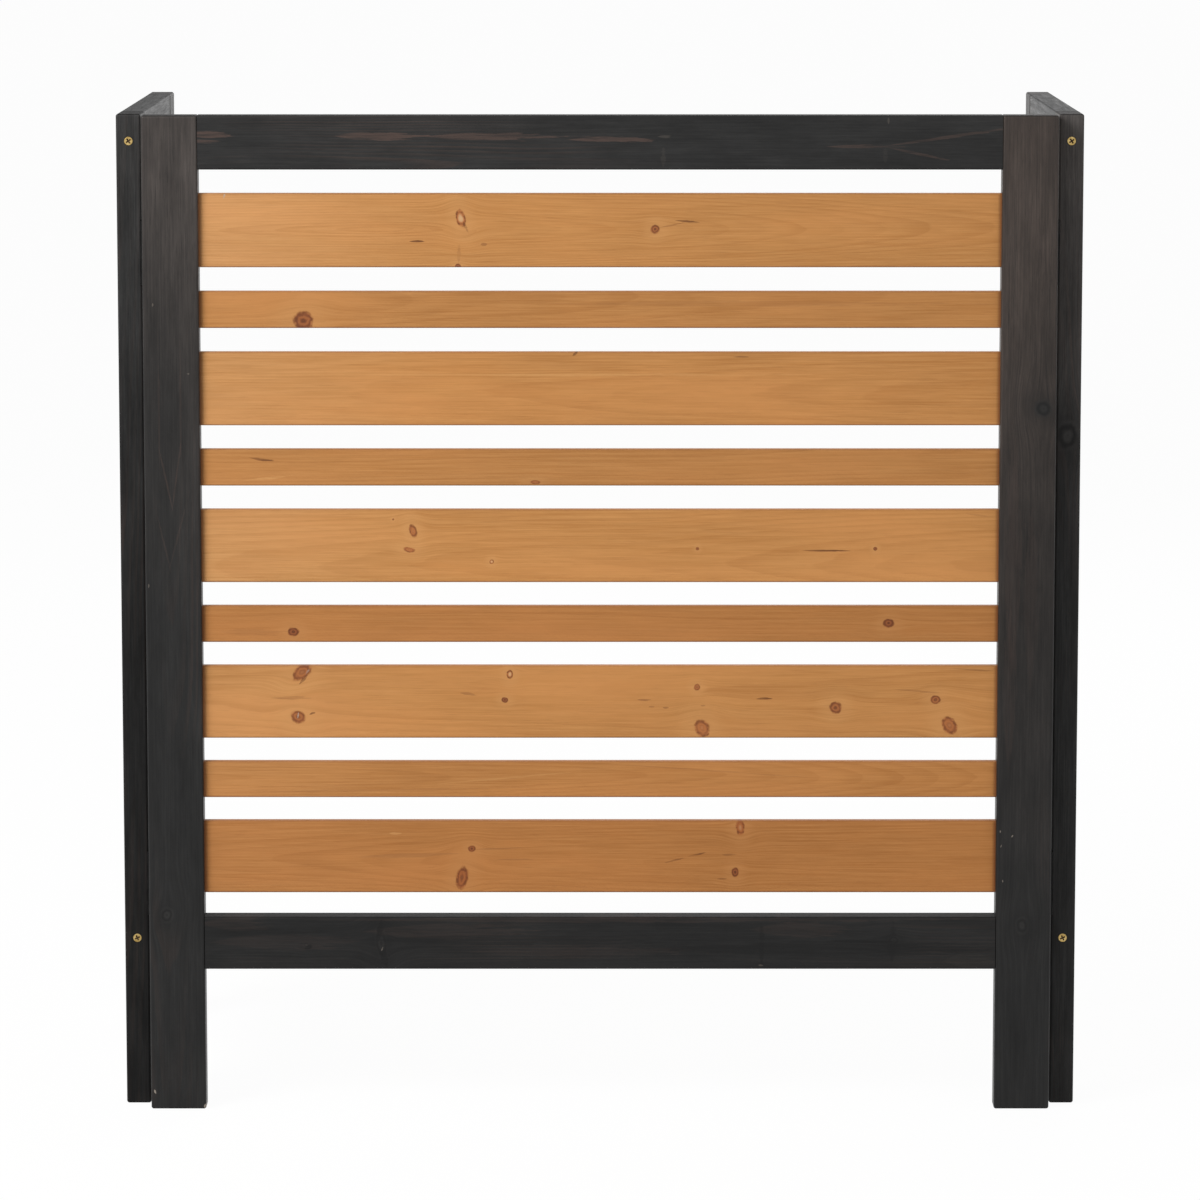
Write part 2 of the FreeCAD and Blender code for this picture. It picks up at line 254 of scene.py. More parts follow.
def charcoal_group():
    """The frame's stain: colour, roughness and relief. It shows knots alike, whatever their core.

    Warmth is how far the board grows lighter and browner towards its far end, and Grey turns that brown grey.
    Nap is how rough the saw has left the board. Edge shade is how dark its ends, and a rail's top and bottom
    faces, are painted: partly stain soaked into end grain and partly painted shade.
    """
    dark_fibre, light_fibre = (0.0110, 0.0109, 0.0109, 1), (0.0205, 0.0202, 0.0198, 1)
    dark_brown, light_brown = (0.0415, 0.0330, 0.0288, 1), (0.0725, 0.0555, 0.0470, 1)
    dark_grey, light_grey = (0.0345, 0.0340, 0.0335, 1), (0.0590, 0.0580, 0.0570, 1)
    late_brown, bare_grey = (0.042, 0.028, 0.023, 1), (0.085, 0.080, 0.076, 1)
    pore_black, end_grain_and_shade_black = (0.008, 0.0078, 0.0078, 1), (0.006, 0.0058, 0.0058, 1)
    knot_black, knot_grey = (0.006, 0.0058, 0.0058, 1), (0.036, 0.0345, 0.0330, 1)
    fibre_range, bare_range, bare_share = (0.28, 0.74), (0.66, 0.82), 0.35
    thin_range, late_share, pore_share = (0.46, 0.68), 0.6, 0.4
    drift_length, warm_to = 0.5, 0.56
    knot_range, gloom_range, gloom_share = (1.5, 0.6), (3.2, 1.0), 0.35
    swirl_share, swirl_rings, ripple_share, ripple_level = 9.0, 7.0, 0.25, 0.36
    edge_range = 0.0016, 0.0004
    blotch_share, patch_level = 1.6, 0.46
    naps_per_metre, nap_seed, nap_rise = (14, 190, 190), 4.0, 5.0
    rough_level, streak_polish, nap_polish, edge_rough = 0.46, 0.1, 0.2, 0.35

    tree, given, result = new_group(
        "charcoal stain",
        grain_sockets + [
            "Tone", "Warmth", "Warm from", "Grey", "Nap", "Half length", "Half height", "Edge shade"],
        ["Color", "Roughness", "Relief"])
    streak = fade(tree, given["Fibre"], *fibre_range)
    colour = blend(tree, streak, dark_fibre, light_fibre)
    thin = times(tree, given["Late wood"], fade(tree, given["Cloud"], *thin_range))
    colour = blend(tree, times(tree, thin, late_share), colour, late_brown)
    place = add_node(tree, "ShaderNodeSeparateXYZ", {0: given["Board"]}).outputs
    drift = times_plus(tree, about_zero(tree, given["Cloud"]), drift_length, place["X"])
    browner = times(tree, given["Warmth"], fade(tree, drift, given["Warm from"], warm_to))
    brown = blend(tree, streak, dark_brown, light_brown)
    grey = blend(tree, streak, dark_grey, light_grey)
    colour = blend(tree, browner, colour, blend(tree, given["Grey"], brown, grey))
    colour = blend(tree, times(tree, given["Fleck"], pore_share), colour, pore_black)
    bare = fade(tree, given["Fibre"], *bare_range)
    colour = blend(tree, times(tree, bare, bare_share), colour, bare_grey)

    swirl = times_plus(tree, given["Blotch"], swirl_share, times(tree, given["Nearness"], swirl_rings))
    ripple = times_plus(tree, maths(tree, "COSINE", swirl), ripple_share, ripple_level)
    gloom = times(tree, fade(tree, given["Nearness"], *gloom_range), gloom_share)
    colour = blend(tree, gloom, colour, pore_black)
    knot = fade(tree, given["Nearness"], *knot_range)
    colour = blend(tree, knot, colour, blend(tree, ripple, knot_black, knot_grey))

    # Painted shade, partly end grain: the ends, and a rail's top and bottom faces, darken towards near black.
    from_end = minus(tree, given["Half length"], maths(tree, "ABSOLUTE", place["X"]))
    from_side = minus(tree, given["Half height"], maths(tree, "ABSOLUTE", place["Y"]))
    edge = maths(tree, "MAXIMUM", fade(tree, from_end, *edge_range), fade(tree, from_side, *edge_range))
    colour = blend(tree, times(tree, edge, given["Edge shade"]), colour, end_grain_and_shade_black)
    cloudy = maths(tree, "ADD", given["Cloud"], patch_level)
    patch = times_plus(tree, about_zero(tree, given["Blotch"]), blotch_share, cloudy)
    nap = about_zero(tree, figure(tree, given["Board"], nap_seed, naps_per_metre, detail=4.0, rough=0.75))
    nap = times(tree, nap, given["Nap"])
    level = times(tree, given["Tone"], maths(tree, "ADD", nap, patch))
    tree.links.new(shaded(tree, colour, level), result["Color"])
    rough = times_plus(tree, streak, -streak_polish, rough_level)
    rough = times_plus(tree, nap, -nap_polish, rough)
    tree.links.new(times_plus(tree, edge, edge_rough, rough), result["Roughness"])
    tree.links.new(times_plus(tree, nap, nap_rise, wood_relief(tree, given)), result["Relief"])
    return tree


def dress(name, material):
    """Gives a node its material."""
    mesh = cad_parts[name].data
    mesh.materials.clear()
    mesh.materials.append(material)


knot_flow, streak_mark, sawn_softwood, charcoal = knot_group(), mark_group(), grain_group(), charcoal_group()
millimetre = 0.001
relief_strength, relief_height = 0.3, 0.0003
strong_edge_shade, weak_edge_shade, far_off = 0.8, 0.3, 1.0


def stained_board(name, stain, log, knots=(), marks=(), cut=(), shine=0.2, edge_on=False, **finish):
    """Gives a board its material: its own place in its own log, its knots and streaks, and its stain.

    A knot is (along, across, half length, half width, turn, core), and a mark is (colour, strength, along,
    across, half length, half width, turn), in millimetres and degrees from the middle of the board's face, or
    of its edge for a board that is seen edge on. What cut holds takes the place of the log's draws.
    """
    material = bpy.data.materials.new(name + "_wood")
    material.use_nodes = True
    tree = material.node_tree
    tree.nodes.clear()
    low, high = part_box(name)
    size = high - low
    axes = sorted(range(3), key=lambda axis: -size[axis])
    if edge_on:
        axes = [axes[0], axes[2], axes[1]]
    place = add_node(tree, "ShaderNodeTexCoord").outputs["Object"]
    to_middle = {"Vector": place, "Location": -(low + high) / 2}
    centred = add_node(tree, "ShaderNodeMapping", to_middle).outputs[0]
    part = add_node(tree, "ShaderNodeSeparateXYZ", {0: centred}).outputs
    plain = add_node(
        tree, "ShaderNodeCombineXYZ", {0: part[axes[0]], 1: part[axes[1]], 2: part[axes[2]]}).outputs[0]

    board, nearness, core = plain, 9.0, 0.0     # no knot is near yet
    for along, across, half_length, half_width, turn, own_core in knots:
        knot = use_group(
            tree, knot_flow, board=board, nearness=nearness, core=core, own_core=own_core,
            along=along * millimetre, across=across * millimetre, half_length=half_length * millimetre,
            half_width=half_width * millimetre, turn=math.radians(turn))
        board, nearness, core = knot["Board"], knot["Nearness"], knot["Core"]
    sawn = dict(
        seed=log.uniform(0, 60),
        heart_across=log.uniform(-0.06, 0.06),
        heart_through=log.choice((-1, 1)) * log.uniform(0.02, 0.08),
        slant=log.uniform(-0.008, 0.008),
        tilt=log.uniform(-0.03, 0.03),
        ring_width=log.uniform(0.0022, 0.0036))
    sawn.update(cut)
    grain = use_group(tree, sawn_softwood, board=board, **sawn)

    if stain == charcoal:
        finish.setdefault("warm_from", -0.12)
        finish["half_length"] = size[axes[0]] / 2
        finish["half_height"] = size[axes[1]] / 2 if "rail" in name else far_off
        # Strong or weak darkening of the ends and a rail's top and bottom faces: painted shade, partly end
        # grain.
        finish["edge_shade"] = weak_edge_shade if "wing" in name and "front" not in name else strong_edge_shade
    coat = use_group(
        tree, stain, late_wood=grain["Late wood"], fibre=grain["Fibre"], fleck=grain["Fleck"],
        cloud=grain["Cloud"], blotch=grain["Blotch"], nearness=nearness, core=core, board=plain, **finish)
    colour = coat["Color"]
    for mark_colour, strength, along, across, half_length, half_width, turn in marks:
        mark = use_group(
            tree, streak_mark, board=plain, along=along * millimetre, across=across * millimetre,
            half_length=half_length * millimetre, half_width=half_width * millimetre, turn=math.radians(turn))
        colour = blend(tree, times(tree, mark["Amount"], strength), colour, mark_colour)
    bump = add_node(tree, "ShaderNodeBump", {
        "Height": coat["Relief"], "Strength": relief_strength, "Distance": relief_height})
    surface = add_node(tree, "ShaderNodeBsdfPrincipled", {
        "Base Color": colour, "Roughness": coat["Roughness"], "Normal": bump.outputs[0],
        "Specular IOR Level": shine})
    output = add_node(tree, "ShaderNodeOutputMaterial")
    tree.links.new(surface.outputs[0], output.inputs["Surface"])
    dress(name, material)


def stray_knots(log, name, most):
    """A few knots, each in a place of its own, for a board that has none to copy."""
    low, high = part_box(name)
    length, width, _ = sorted((high - low) / millimetre, reverse=True)
    knots = []
    for _ in range(log.randint(0, most)):
        half = log.uniform(2.5, 6.0)
        knots.append((
            log.uniform(-0.44, 0.44) * length, log.uniform(-0.4, 0.4) * width,
            half * log.uniform(0.9, 1.4), half, log.uniform(-35, 35), log.uniform(0.1, 0.9)))
    return knots


bare_wood = (0.42, 0.36, 0.30, 1)
rubbed_and_highlight_brown, deep_black = (0.071, 0.047, 0.039, 1), (0.0035, 0.0034, 0.0034, 1)
edge_shine = 0.08
stained_board(
    "front_left_post", charcoal, random.Random(401),
    knots=[(-304, -10, 7, 6, 20, 0.2)],
    marks=[
        (bare_wood, 0.8, -502, 27, 2.5, 1.2, 30), (bare_wood, 0.7, -487, -24, 2.5, 1.0, -20),
        (rubbed_and_highlight_brown, 0.38, 138, -6, 32, 1.0, -12), (rubbed_and_highlight_brown, 0.38, 142, 4, 36, 1.0, 8),
        (rubbed_and_highlight_brown, 0.24, 76, -9, 34, 1.0, -13), (rubbed_and_highlight_brown, 0.24, 83, 5, 44, 1.0, 15),
        (rubbed_and_highlight_brown, 0.24, 215, -13, 70, 1.0, 0), (rubbed_and_highlight_brown, 0.24, 222, 9, 70, 1.0, 0),
        (bare_wood, 0.22, 316, -18, 1.8, 0.8, 0), (bare_wood, 0.2, 247, 17, 1.8, 0.8, 90),
        (bare_wood, 0.22, 33, -25, 2.5, 0.8, 0)],
    cut=dict(heart_across=-0.004, heart_through=0.020, tilt=-0.030),
    tone=0.92, warmth=1.0, grey=0.4, warm_from=-0.02)
stained_board(
    "front_right_post", charcoal, random.Random(402),
    knots=[(-315, -1, 8, 6, 0, 0.2), (212, 15, 8, 8, 0, 0.2)],
    marks=[
        (bare_wood, 0.5, -218, -24, 1.5, 0.7, 0), (bare_wood, 0.5, -223, -12, 1.5, 0.6, 40),
        (bare_wood, 0.4, -233, -23, 1.8, 0.6, 20), (bare_wood, 0.4, -269, -21, 1.5, 0.6, 0),
        (rubbed_and_highlight_brown, 0.2, 60, -14, 120, 9, 0), (rubbed_and_highlight_brown, 0.14, 20, 5, 100, 8, 0),
        (rubbed_and_highlight_brown, 0.18, -70, -16, 90, 7, 0), (deep_black, 0.22, 270, 13, 110, 11, 0),
        (deep_black, 0.15, 255, -14, 60, 8, 0)],
    tone=0.96, warmth=0.98, warm_from=-0.42)
stained_board(
    "left_wing_front_stile", charcoal, random.Random(403), shine=edge_shine, edge_on=True,
    tone=0.91, warmth=0.62, grey=1.0, warm_from=-0.04)
# The right wing's front stile is painted about twice as light as the left: painted light that makes up for
# the shade the right post casts on it from the key lamp.
stained_board(
    "right_wing_front_stile", charcoal, random.Random(404), knots=[(182, -1, 14, 11, 15, 0.5)],
    shine=edge_shine, edge_on=True, tone=1.85, warmth=0.74, grey=0.65, warm_from=0.06)
for number, name in enumerate(("left_wing_rear_stile", "right_wing_rear_stile")):
    log = random.Random(405 + number)
    stained_board(name, charcoal, log, stray_knots(log, name, 3), tone=1.0, warmth=0.4, grey=0.7, nap=1.5)


# Rails: a top and a bottom rail in each panel, thinner than the uprights and tenoned into them. They have
# the charcoal stain, which has rubbed through to brown in a few pointed streaks of late wood. A thin brown
# band along the bottom rail's top edge is a painted highlight.

stained_board(
    "front_top_rail", charcoal, random.Random(411),
    marks=[
        (rubbed_and_highlight_brown, 0.9, -393, 8, 27, 3.2, 0), (rubbed_and_highlight_brown, 0.8, -397, 1.5, 19, 2.0, 0),
        (rubbed_and_highlight_brown, 0.9, -222, 6.5, 44, 5.0, 0), (rubbed_and_highlight_brown, 0.8, -112, 6, 66, 3.8, 0),
        (rubbed_and_highlight_brown, 0.9, 12, 3, 46, 3.0, 0), (rubbed_and_highlight_brown, 0.6, 260, -4, 36, 2.2, 0),
        (rubbed_and_highlight_brown, 0.5, 344, 5, 66, 1.6, 8), (rubbed_and_highlight_brown, 0.45, 316, -11, 34, 1.4, -12),
        (bare_wood, 0.07, 65, 6, 8, 1.6, 0), (bare_wood, 0.03, 63, -15, 10, 2.6, 90),
        (bare_wood, 0.1, 287, 22, 4, 1.2, 90), (bare_wood, 0.02, 284, -12, 9, 2.6, 90)],
    tone=1.18, warmth=0.0)
stained_board(
    "front_bottom_rail", charcoal, random.Random(412),
    knots=[(298, 3, 5, 4, 0, 0.2), (-298, -2, 3, 3, 0, 0.2), (-222, 0, 5, 16, 8, 0.2)],
    marks=[
        (rubbed_and_highlight_brown, 0.16, -368, 20, 40, 7, 0), (rubbed_and_highlight_brown, 0.13, -318, 1, 80, 9, 0),
        # The second mark on the next line, along the top edge, is a painted highlight.
        (rubbed_and_highlight_brown, 0.16, -155, 12, 90, 8, 0), (rubbed_and_highlight_brown, 0.2, 20, 24, 330, 3, 0),
        (rubbed_and_highlight_brown, 0.16, 205, 14, 55, 8, 0), (rubbed_and_highlight_brown, 0.12, -20, -9, 120, 6, 0),
        (deep_black, 0.5, -345, 11, 70, 4, 0), (deep_black, 0.5, -90, 3, 150, 6, 0),
        (deep_black, 0.6, 240, -6, 190, 8, 0), (deep_black, 0.8, 264, 2, 36, 1.8, 0),
        (deep_black, 0.5, 297, 2, 24, 5.0, 88), (deep_black, 0.6, 164, -2, 26, 2.6, 90),
        (deep_black, 0.8, -223, 14, 13, 3.2, 82), (deep_black, 0.8, -219, -15, 11, 3.6, 104),
        (deep_black, 0.8, -296, -4, 5, 2.2, 30), (bare_wood, 0.35, -221, -6, 2.5, 0.6, 70),
        (bare_wood, 0.2, 163, -23, 2.5, 0.9, 0), (bare_wood, 0.015, 376, -18, 28, 8.0, 0)],
    tone=0.74, warmth=0.0)
wing_rails = "left_wing_top_rail", "right_wing_top_rail", "left_wing_bottom_rail", "right_wing_bottom_rail"
for number, name in enumerate(wing_rails):
    log = random.Random(413 + number)
    stained_board(name, charcoal, log, stray_knots(log, name, 2), tone=1.2, warmth=0.3, grey=0.7, nap=2.4)


# Slats: nine thin boards in each panel, wide and narrow in turn, housed in the uprights. Their golden brown
# stain shows every knot. Along the edges and against the uprights they darken a little, partly stain gathered
# there and partly painted shade.

def golden_brown_group():
    """The slats' stain: colour, roughness and relief.

    Painted light end is how much the board is painted paler towards its left end, light from the key lamp on
    that side. Half clear is half of the length that shows.
    """
    dark_fibre, light_fibre = (0.470, 0.205, 0.057, 1), (0.585, 0.283, 0.094, 1)
    cloud_brown, late_brown = (0.565, 0.255, 0.082, 1), (0.33, 0.122, 0.026, 1)
    pore_brown, stain_and_shade_brown = (0.27, 0.100, 0.026, 1), (0.18, 0.056, 0.020, 1)
    painted_light_tint, red_tint = (1.05, 1.14, 1.36, 1), (1.0, 0.86, 0.76, 1)
    halo_gold, rim_brown = (0.62, 0.315, 0.115, 1), (0.130, 0.040, 0.014, 1)
    dark_body, light_body = (0.185, 0.058, 0.024, 1), (0.450, 0.160, 0.050, 1)
    dark_eye, gold_eye, pale_eye = (0.105, 0.034, 0.014, 1), (0.52, 0.215, 0.080, 1), (0.64, 0.40, 0.20, 1)
    fibre_range, cloud_range, late_share, pore_share = (0.25, 0.75), (0.4, 0.75), 0.22, 0.16
    blotch_share, cloud_share, patch_level = 0.22, 0.3, 0.85
    painted_light_range = -0.12, -0.42
    halo_range, halo_share = (4.5, 1.3), 0.30
    burrs_per_metre, burr_seed, burr_share = (250, 250, 250), 2.0, 0.5
    fibre_swirl, knot_rings, ring_share, body_blotch = 5.0, 11.0, 0.24, 0.9
    gold_range, pale_core_range = (0.45, 0.75), (0.85, 0.95)
    eye_size, pale_eye_growth, eye_heart_share, eye_share = 0.40, 0.3, 0.3, 0.6
    body_range, rim_outside, rim_inside = (1.3, 0.85), (1.2, 0.98), (0.62, 0.92)
    breaks_per_metre, break_seed, break_range = (240, 240, 240), 6.0, (0.36, 0.6)
    rim_share, pale_gain = 0.65, 0.25
    end_range, end_share, side_range, side_share = (0.0045, 0.0), 0.75, (0.0022, 0.0004), 0.35
    rough_level, streak_polish = 0.64, 0.12

    tree, given, result = new_group(
        "golden brown stain",
        grain_sockets + ["Tone", "Redness", "Pale end", "Half clear", "Half height"],
        ["Color", "Roughness", "Relief"])
    board, nearness, core = given["Board"], given["Nearness"], given["Core"]
    streak = fade(tree, given["Fibre"], *fibre_range)
    colour = blend(tree, streak, dark_fibre, light_fibre)
    colour = blend(tree, fade(tree, given["Cloud"], *cloud_range), colour, cloud_brown)
    colour = blend(tree, times(tree, given["Late wood"], late_share), colour, late_brown)
    colour = blend(tree, times(tree, given["Fleck"], pore_share), colour, pore_brown)
    patch = times_plus(tree, about_zero(tree, given["Blotch"]), blotch_share, patch_level)
    colour = shaded(tree, colour, times_plus(tree, given["Cloud"], cloud_share, patch))
    place = add_node(tree, "ShaderNodeSeparateXYZ", {0: board}).outputs
    # Painted light: the slat is tinted paler and less saturated towards its left end, where the key lamp
    # stands.
    painted_light = times(tree, fade(tree, place["X"], *painted_light_range), given["Pale end"])
    colour = tinted(tree, painted_light, colour, painted_light_tint)

    halo = times(tree, fade(tree, nearness, *halo_range), halo_share)
    colour = blend(tree, halo, colour, halo_gold)
    burr = about_zero(tree, figure(tree, board, burr_seed, burrs_per_metre, detail=3.0, rough=0.6))
    reach = times_plus(tree, burr, burr_share, nearness)
    swirl = times_plus(tree, given["Fibre"], fibre_swirl, times(tree, reach, knot_rings))
    ripple = times_plus(tree, maths(tree, "SINE", swirl), ring_share, core)
    ripple = times_plus(tree, about_zero(tree, given["Blotch"]), body_blotch, ripple)
    body = blend(tree, ripple, dark_body, light_body)
    pale = fade(tree, core, *pale_core_range)
    eye_colour = blend(tree, fade(tree, core, *gold_range), dark_eye, gold_eye)
    eye_colour = blend(tree, pale, eye_colour, pale_eye)
    eye_edge = times_plus(tree, pale, pale_eye_growth, eye_size)
    eye = fade(tree, reach, eye_edge, times(tree, eye_edge, eye_heart_share))
    body = blend(tree, times(tree, eye, times_plus(tree, pale, pale_gain, eye_share)), body, eye_colour)
    colour = blend(tree, fade(tree, reach, *body_range), colour, body)
    rim = times(tree, fade(tree, reach, *rim_outside), fade(tree, reach, *rim_inside))
    broken = fade(tree, figure(tree, board, break_seed, breaks_per_metre), *break_range)
    rim_depth = times(tree, times_plus(tree, pale, pale_gain, rim_share), broken)
    colour = blend(tree, times(tree, rim, rim_depth), colour, rim_brown)

    # Painted shade, partly gathered stain: the slat darkens to brown by its long edges and where it meets the
    # uprights.
    from_end = minus(tree, given["Half clear"], maths(tree, "ABSOLUTE", place["X"]))
    from_side = minus(tree, given["Half height"], maths(tree, "ABSOLUTE", place["Y"]))
    gathered_stain_and_shade = maths(
        tree, "MAXIMUM", times(tree, fade(tree, from_end, *end_range), end_share),
        times(tree, fade(tree, from_side, *side_range), side_share))
    colour = blend(tree, gathered_stain_and_shade, colour, stain_and_shade_brown)
    colour = tinted(tree, given["Redness"], colour, red_tint)
    tree.links.new(shaded(tree, colour, given["Tone"]), result["Color"])
    tree.links.new(times_plus(tree, streak, -streak_polish, rough_level), result["Roughness"])
    tree.links.new(wood_relief(tree, given), result["Relief"])
    return tree


golden_brown = golden_brown_group()
pitch = (0.11, 0.036, 0.013, 1)
dull_brown = (0.30, 0.125, 0.042, 1)
pale_grain = (0.66, 0.35, 0.13, 1)
front_knots = {
    1: [(-139, 12, 4.2, 8.5, 15, 0.97), (-142, -36, 2.5, 3, 0, 0.3), (55, 1, 4, 4, 0, 0.35)],
    2: [(-297, -11, 9, 8.5, 0, 0.35)],
    4: [(-65, -15, 5, 1.8, 0, 0.8)],
    5: [(-188, 15, 3.5, 6, 15, 0.72), (-192, -1, 5.5, 3, 0, 0.7), (-109, -16, 2, 2, 0, 0.95),
        (98, -3, 1.5, 1.5, 0, 0.35), (277, -3, 1.7, 1.7, 0, 0.45), (-208, 26, 0.9, 0.9, 0, 0.4)],
    6: [(-309, -8, 5.2, 4, 0, 0.3), (291, 1, 5, 4, 0, 0.32)],
    7: [(-301, 30, 10, 6, 38, 0.6), (-305, -15, 7, 6, -30, 0.55), (-91, 28, 3, 4.2, 0, 0.97),
        (-96, 2, 3, 2.7, 0, 0.3), (98, 15, 3, 3, 0, 0.6), (103, -27, 6.5, 8.5, 25, 0.75),
        (238, -6, 5.5, 5.5, 0, 0.5), (339, 2, 4.5, 4, 0, 0.5), (353, -24, 6.5, 9, 25, 0.66)],
    9: [(-130, 8, 3.5, 3, 0, 0.42), (-140, -22, 5.5, 10.5, -12, 0.55), (142, 30, 4, 7, 0, 0.9),
        (137, -16, 3.5, 4.5, 0, 0.35)],
}
front_marks = {
    1: [(pitch, 0.9, -182, -11, 9, 1.2, 0), (pitch, 0.8, 88, 9, 14, 1.2, -4),
        (dull_brown, 0.6, 71, 5, 14, 1.0, 12), (pitch, 0.5, -134, 3, 7, 1.4, -65),
        (bare_wood, 0.9, -375, 34, 2.4, 0.7, 75), (dull_brown, 0.4, -141, -24, 9, 2.2, 88),
        (dull_brown, 0.8, -116, -14, 3.5, 1.8, 0)],
    2: [(dull_brown, 0.25, 150, 6, 220, 3, 0)],
    3: [(pitch, 0.8, -25, 35, 3.5, 1.4, 40), (pitch, 0.5, 142, 32, 9, 0.9, 0),
        (pale_grain, 0.4, -60, 14, 330, 1.0, 0)],
    4: [(pitch, 0.85, -339, 8, 14, 1.5, -8), (pale_grain, 0.5, -335, -11, 26, 1.3, 6)],
    5: [(pitch, 0.9, 232, -5.2, 30, 1.3, -1), (dull_brown, 0.3, 380, 31, 15, 0.9, -8)],
    6: [(dull_brown, 0.3, -350, -8, 35, 4, 0)],
    7: [(bare_wood, 0.85, -305, -14, 3.2, 0.9, 82), (bare_wood, 0.5, -295, 31, 4, 1.0, 55),
        (pitch, 0.6, -299, 23, 8, 1.4, 48), (dull_brown, 0.6, -313, 4, 20, 1.8, 0),
        (dull_brown, 0.6, -133, 8, 9, 1.6, -8), (pitch, 0.7, -291, -12, 3, 0.9, 20),
        (pitch, 0.9, 165, 3, 8, 1.3, 0), (dull_brown, 0.8, 44, 2, 7, 1.0, 0),
        (dull_brown, 0.8, 52, -5, 3, 0.9, 0), (dull_brown, 0.8, 66, -6, 3, 0.9, 0),
        (dull_brown, 0.6, 320, 11, 24, 1.1, -4), (dull_brown, 0.6, 104, -4, 2.5, 0.9, 0),
        (pitch, 0.4, 372, 33, 22, 0.9, -4)],
    8: [(pale_grain, 0.3, -100, 1, 70, 1.0, 5), (dull_brown, 0.3, -230, -11, 170, 0.9, 1),
        (dull_brown, 0.3, 110, 9, 90, 0.9, -4)],
    9: [(dull_brown, 0.4, -200, 1, 50, 2.4, 2), (dull_brown, 0.5, -105, 8, 26, 1.2, 2),
        (dull_brown, 0.5, -85, -3, 22, 0.9, 0), (pitch, 0.7, 98, 2, 10, 0.9, 12),
        (pitch, 0.6, 75, -4, 11, 0.8, 14), (pitch, 0.7, 130, 2, 7, 0.8, 2),
        (pitch, 0.5, 124, -23, 6, 0.8, 0), (pale_grain, 0.4, -208, 24, 6, 1.4, 0)],
}
arched_cuts = {
    1: dict(heart_across=0.003, heart_through=-0.020, tilt=-0.055),
    8: dict(heart_across=0.002, heart_through=-0.024, tilt=-0.045),
}
slat_tones = {1: 0.98, 2: 0.9, 3: 1.0, 4: 0.9, 5: 1.03, 6: 0.84, 7: 1.01, 8: 0.95, 9: 0.868}
slat_redness = {1: 0.0, 2: 0.2, 3: 0.1, 4: 0.2, 5: 0.0, 6: 0.6, 7: 0.1, 8: 0.4, 9: 0.7}
# How much painted light pales each front slat towards its left end.
pale_ends = {1: 1.0, 2: 0.1, 3: 0.8, 4: 0.1, 5: 0.8, 6: 0.1, 7: 0.5, 8: 0.4, 9: 0.3}
front_clear, wing_clear = 0.401, 0.1705     # half of what shows of a slat between the uprights
for number, tone in slat_tones.items():
    name = "front_slat_" + str(number)
    low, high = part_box(name)
    half_height = (high.z - low.z) / 2
    stained_board(
        name, golden_brown, random.Random(100 + number), front_knots.get(number, ()), front_marks[number],
        arched_cuts.get(number, ()), tone=tone, redness=slat_redness[number], pale_end=pale_ends[number],
        half_clear=front_clear, half_height=half_height)
    for side, seed in (("left", 200), ("right", 300)):
        name = side + "_wing_slat_" + str(number)
        log = random.Random(seed + number)
        stained_board(
            name, golden_brown, log, stray_knots(log, name, 4), tone=tone, redness=slat_redness[number],
            pale_end=0.0, half_clear=wing_clear, half_height=half_height)


# Hinges: butt hinges pressed from steel strip, with rolled knuckles round a headed pin, let in flush. They
# are coated black, so the seams between the posts and the wings stay dark.

def coated_steel(name, dull, bright, metallic, rough, shine=0.5):
    """Painted or plated steel, mottled between two colours, with an uneven gloss."""
    mottles_per_metre, mottle_seed, mottle_range = (160, 160, 160), 3.0, (0.35, 0.68)
    hazes_per_metre, haze_seed, haze_share = (1100, 1100, 1100), 8.0, 0.3
    material = bpy.data.materials.new(name)
    material.use_nodes = True
    tree = material.node_tree
    tree.nodes.clear()
    place = add_node(tree, "ShaderNodeTexCoord").outputs["Object"]
    mottle = figure(tree, place, mottle_seed, mottles_per_metre, detail=3.0)
    haze = figure(tree, place, haze_seed, hazes_per_metre)
    surface = add_node(tree, "ShaderNodeBsdfPrincipled", {
        "Base Color": blend(tree, fade(tree, mottle, *mottle_range), dull, bright), "Metallic": metallic,
        "Roughness": times_plus(tree, haze, haze_share, rough), "Specular IOR Level": shine})
    output = add_node(tree, "ShaderNodeOutputMaterial")
    tree.links.new(surface.outputs[0], output.inputs["Surface"])
    return material


black_coat = coated_steel(
    "black_coat", dull=(0.006, 0.006, 0.006, 1), bright=(0.010, 0.0098, 0.0096, 1), metallic=0.0, rough=0.45,
    shine=0.12)
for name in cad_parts:
    if name.endswith(("leaf", "pin")):
        dress(name, black_coat)


# Screws: countersunk cross-head wood screws, turned and thread-rolled from steel wire, zinc plated and
# passivated yellow. Two go through each upright into the rails, and three hold each hinge leaf.

yellow_zinc = coated_steel(
    "yellow_zinc", dull=(0.38, 0.255, 0.082, 1), bright=(0.58, 0.43, 0.185, 1), metallic=1.0, rough=0.25)
# Painted shade, with some grime: a dark brown coat for the faces deep in each screw's cross recess.
recess_shade_and_grime = coated_steel(
    "recess_shade_and_grime", dull=(0.045, 0.022, 0.010, 1), bright=(0.10, 0.055, 0.022, 1), metallic=0.3, rough=0.5)


